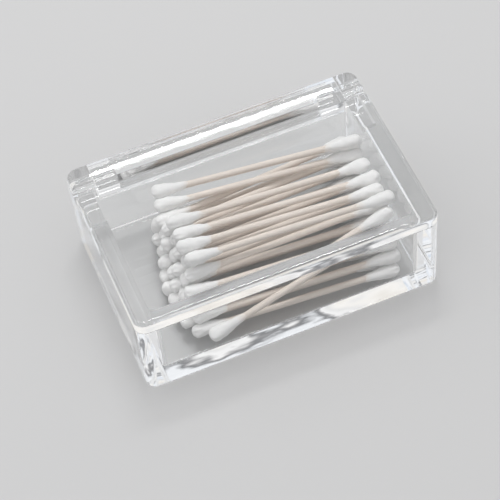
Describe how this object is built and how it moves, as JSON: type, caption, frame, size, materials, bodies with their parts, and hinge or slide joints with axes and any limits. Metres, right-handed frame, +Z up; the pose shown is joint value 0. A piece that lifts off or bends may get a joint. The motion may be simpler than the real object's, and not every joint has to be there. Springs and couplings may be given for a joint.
{
  "type": "cotton swab dispenser",
  "caption": "Clear thick-walled plastic box with a hinged lid, holding a loose pile of double-ended cotton swabs on paper sticks.",
  "frame": {"origin": "bottom centre of the closed case, on the surface it stands on", "axes": "+X along the box's length, +Z up; the lid opens at the -Y side and its pins are at the +Y side"},
  "size_m": [0.107, 0.072, 0.0365],
  "materials": {
    "clear_plastic": "clear, polished",
    "pin_plastic": "clear, smooth",
    "cotton_swab": "wound cotton on a paper stick"
  },
  "bodies": {
    "case": {"case_body": "clear_plastic", "hinge_pin_left": "pin_plastic", "hinge_pin_right": "pin_plastic", "swab_01": "cotton_swab", "swab_02": "cotton_swab", "swab_03": "cotton_swab", "swab_04": "cotton_swab", "swab_05": "cotton_swab", "swab_06": "cotton_swab", "swab_07": "cotton_swab", "swab_08": "cotton_swab", "swab_09": "cotton_swab", "swab_10": "cotton_swab", "swab_11": "cotton_swab", "swab_12": "cotton_swab", "swab_13": "cotton_swab", "swab_14": "cotton_swab", "swab_15": "cotton_swab", "swab_16": "cotton_swab", "swab_17": "cotton_swab", "swab_18": "cotton_swab", "swab_19": "cotton_swab", "swab_20": "cotton_swab", "swab_21": "cotton_swab", "swab_22": "cotton_swab", "swab_23": "cotton_swab", "swab_24": "cotton_swab", "swab_25": "cotton_swab", "swab_26": "cotton_swab", "swab_27": "cotton_swab", "swab_28": "cotton_swab", "swab_29": "cotton_swab", "swab_30": "cotton_swab", "swab_31": "cotton_swab", "swab_32": "cotton_swab", "swab_33": "cotton_swab", "swab_34": "cotton_swab", "swab_35": "cotton_swab", "swab_36": "cotton_swab", "swab_37": "cotton_swab"},
    "lid": {"lid": "clear_plastic"}
  },
  "joints": [
    {"name": "lid_hinge", "type": "hinge", "parent": "case", "child": "lid", "pos_m": [0, 0.0314, 0.0318], "axis": [-1, 0, 0], "range_deg": [0, 105]}
  ]
}
